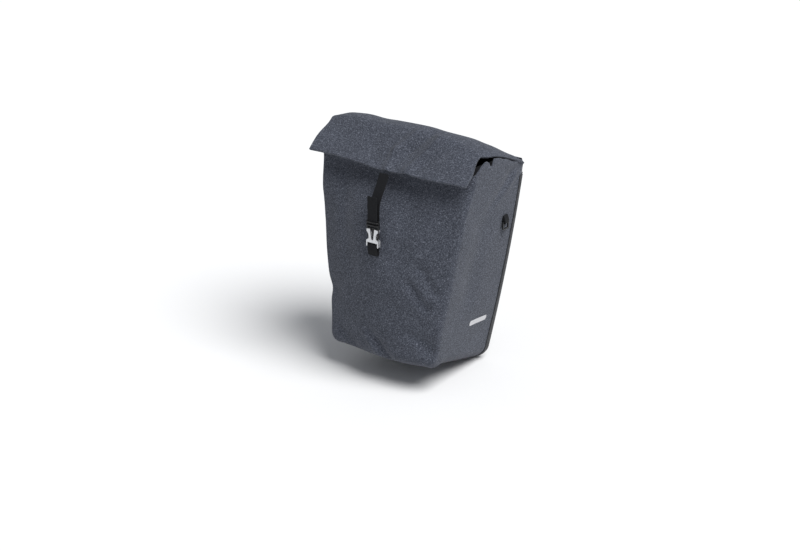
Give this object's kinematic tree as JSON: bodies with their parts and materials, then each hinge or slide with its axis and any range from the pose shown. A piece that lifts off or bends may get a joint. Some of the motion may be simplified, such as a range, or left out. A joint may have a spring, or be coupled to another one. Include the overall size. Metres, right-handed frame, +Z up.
{
  "type": "pannier bag",
  "caption": "Tapered rear pannier bag with a fold-over top, a buckled closure strap and sliding quick-release rack hooks.",
  "frame": {"origin": "centre of the rack tube that the upper hooks hang on, midway between the two hooks at rest", "axes": "+X to the right seen from the bag's outer face, +Y from the bag towards the wheel, +Z up"},
  "size_m": [0.3384, 0.2826, 0.475],
  "materials": {
    "fabric": "heathered woven, matte",
    "webbing": "woven webbing, matte",
    "plastic": "moulded, fine grain",
    "board_plastic": "pebbled sheet",
    "rubber": "matte",
    "aluminium": "satin anodised",
    "cast_metal": "bead-blasted casting",
    "steel": "satin"
  },
  "bodies": {
    "bag": {"bag_shell": "fabric", "back_plate": "board_plastic", "edge_piping": "webbing", "inner_board": "board_plastic", "upper_rail": "aluminium", "rail_cap_left": "plastic", "rail_cap_right": "plastic", "rail_screw_1": "steel", "rail_screw_2": "steel", "rail_screw_3": "steel", "rail_screw_4": "steel", "lower_rail": "plastic", "lower_rail_screw_1": "steel", "lower_rail_screw_2": "steel", "bumper_pad_left": "rubber", "bumper_pad_right": "rubber", "side_tab_left": "webbing", "side_tab_right": "webbing", "buckle_female": "cast_metal", "front_webbing": "webbing"},
    "upper_hook_left": {"hook_left": "plastic", "hook_insert_left": "rubber", "hook_pin_left": "steel"},
    "catch_left": {"latch_left": "plastic"},
    "ring_left": {"side_ring_left": "plastic"},
    "upper_hook_right": {"hook_right": "plastic", "hook_insert_right": "rubber", "hook_pin_right": "steel"},
    "catch_right": {"latch_right": "plastic"},
    "ring_right": {"side_ring_right": "plastic"},
    "handle": {"carry_handle": "webbing", "handle_grip": "rubber"},
    "lower_carriage": {"lower_slider": "plastic"},
    "lower_catch": {"lower_hook": "plastic", "lower_hook_screw": "steel"},
    "top": {"fold_over_top": "fabric", "top_front": "fabric", "top_stiffener": "plastic"},
    "strap": {"closure_strap": "webbing"},
    "buckle": {"buckle_male": "plastic", "strap_tail": "webbing"},
    "snap_arm_left": {"buckle_arm_left": "plastic"},
    "snap_arm_right": {"buckle_arm_right": "plastic"}
  },
  "joints": [
    {"name": "hook_left_slide", "type": "slide", "parent": "bag", "child": "upper_hook_left", "axis": [1, 0, 0], "range_m": [-0.038, 0.045]},
    {"name": "hook_right_slide", "type": "slide", "parent": "bag", "child": "upper_hook_right", "axis": [1, 0, 0], "range_m": [-0.045, 0.038]},
    {"name": "latch_left_open", "type": "hinge", "parent": "upper_hook_left", "child": "catch_left", "pos_m": [-0.075, 0.002, 0.0195], "axis": [1, 0, 0], "range_deg": [0, 36]},
    {"name": "latch_right_open", "type": "hinge", "parent": "upper_hook_right", "child": "catch_right", "pos_m": [0.075, 0.002, 0.0195], "axis": [1, 0, 0], "range_deg": [0, 36]},
    {"name": "handle_lift", "type": "slide", "parent": "bag", "child": "handle", "axis": [0, 0, 1], "range_m": [0, 0.012], "stiffness_N_per_m": 300},
    {"name": "lower_hook_slide", "type": "slide", "parent": "bag", "child": "lower_carriage", "axis": [1, 0, 0], "range_m": [-0.036, 0.036]},
    {"name": "lower_hook_swivel", "type": "hinge", "parent": "lower_carriage", "child": "lower_catch", "pos_m": [0, -0.011, -0.257], "axis": [0, 1, 0], "range_deg": [-90, 90]},
    {"name": "ring_left_swing", "type": "hinge", "parent": "bag", "child": "ring_left", "pos_m": [-0.15432, -0.064, -0.052], "axis": [0, 1, 0], "range_deg": [0, 80]},
    {"name": "ring_right_swing", "type": "hinge", "parent": "bag", "child": "ring_right", "pos_m": [0.15432, -0.064, -0.052], "axis": [0, -1, 0], "range_deg": [0, 80]},
    {"name": "top_open", "type": "hinge", "parent": "bag", "child": "top", "pos_m": [0, -0.0275, 0.054], "axis": [-1, 0, 0], "range_deg": [0, 80]},
    {"name": "strap_hang", "type": "hinge", "parent": "top", "child": "strap", "pos_m": [0, -0.2195, 0.053], "axis": [-1, 0, 0], "range_deg": [-74, 0]},
    {"name": "buckle_adjust", "type": "slide", "parent": "strap", "child": "buckle", "axis": [0, 0, 1], "range_m": [0, 0.02]},
    {"name": "snap_arm_right_flex", "type": "hinge", "parent": "buckle", "child": "snap_arm_right", "pos_m": [0.0072, -0.254, -0.0418], "axis": [0, 1, 0], "range_deg": [0, 5], "stiffness_Nm_per_rad": 0.02},
    {"name": "snap_arm_left_flex", "type": "hinge", "parent": "buckle", "child": "snap_arm_left", "pos_m": [-0.0072, -0.254, -0.0418], "axis": [0, -1, 0], "range_deg": [0, 5]}
  ],
  "couplings": [
    {"joint": "latch_left_open", "follows": "handle_lift", "rad_per_m": 50},
    {"joint": "latch_right_open", "follows": "handle_lift", "rad_per_m": 50},
    {"joint": "strap_hang", "follows": "top_open", "ratio": -0.9},
    {"joint": "snap_arm_left_flex", "follows": "snap_arm_right_flex", "ratio": 1}
  ]
}
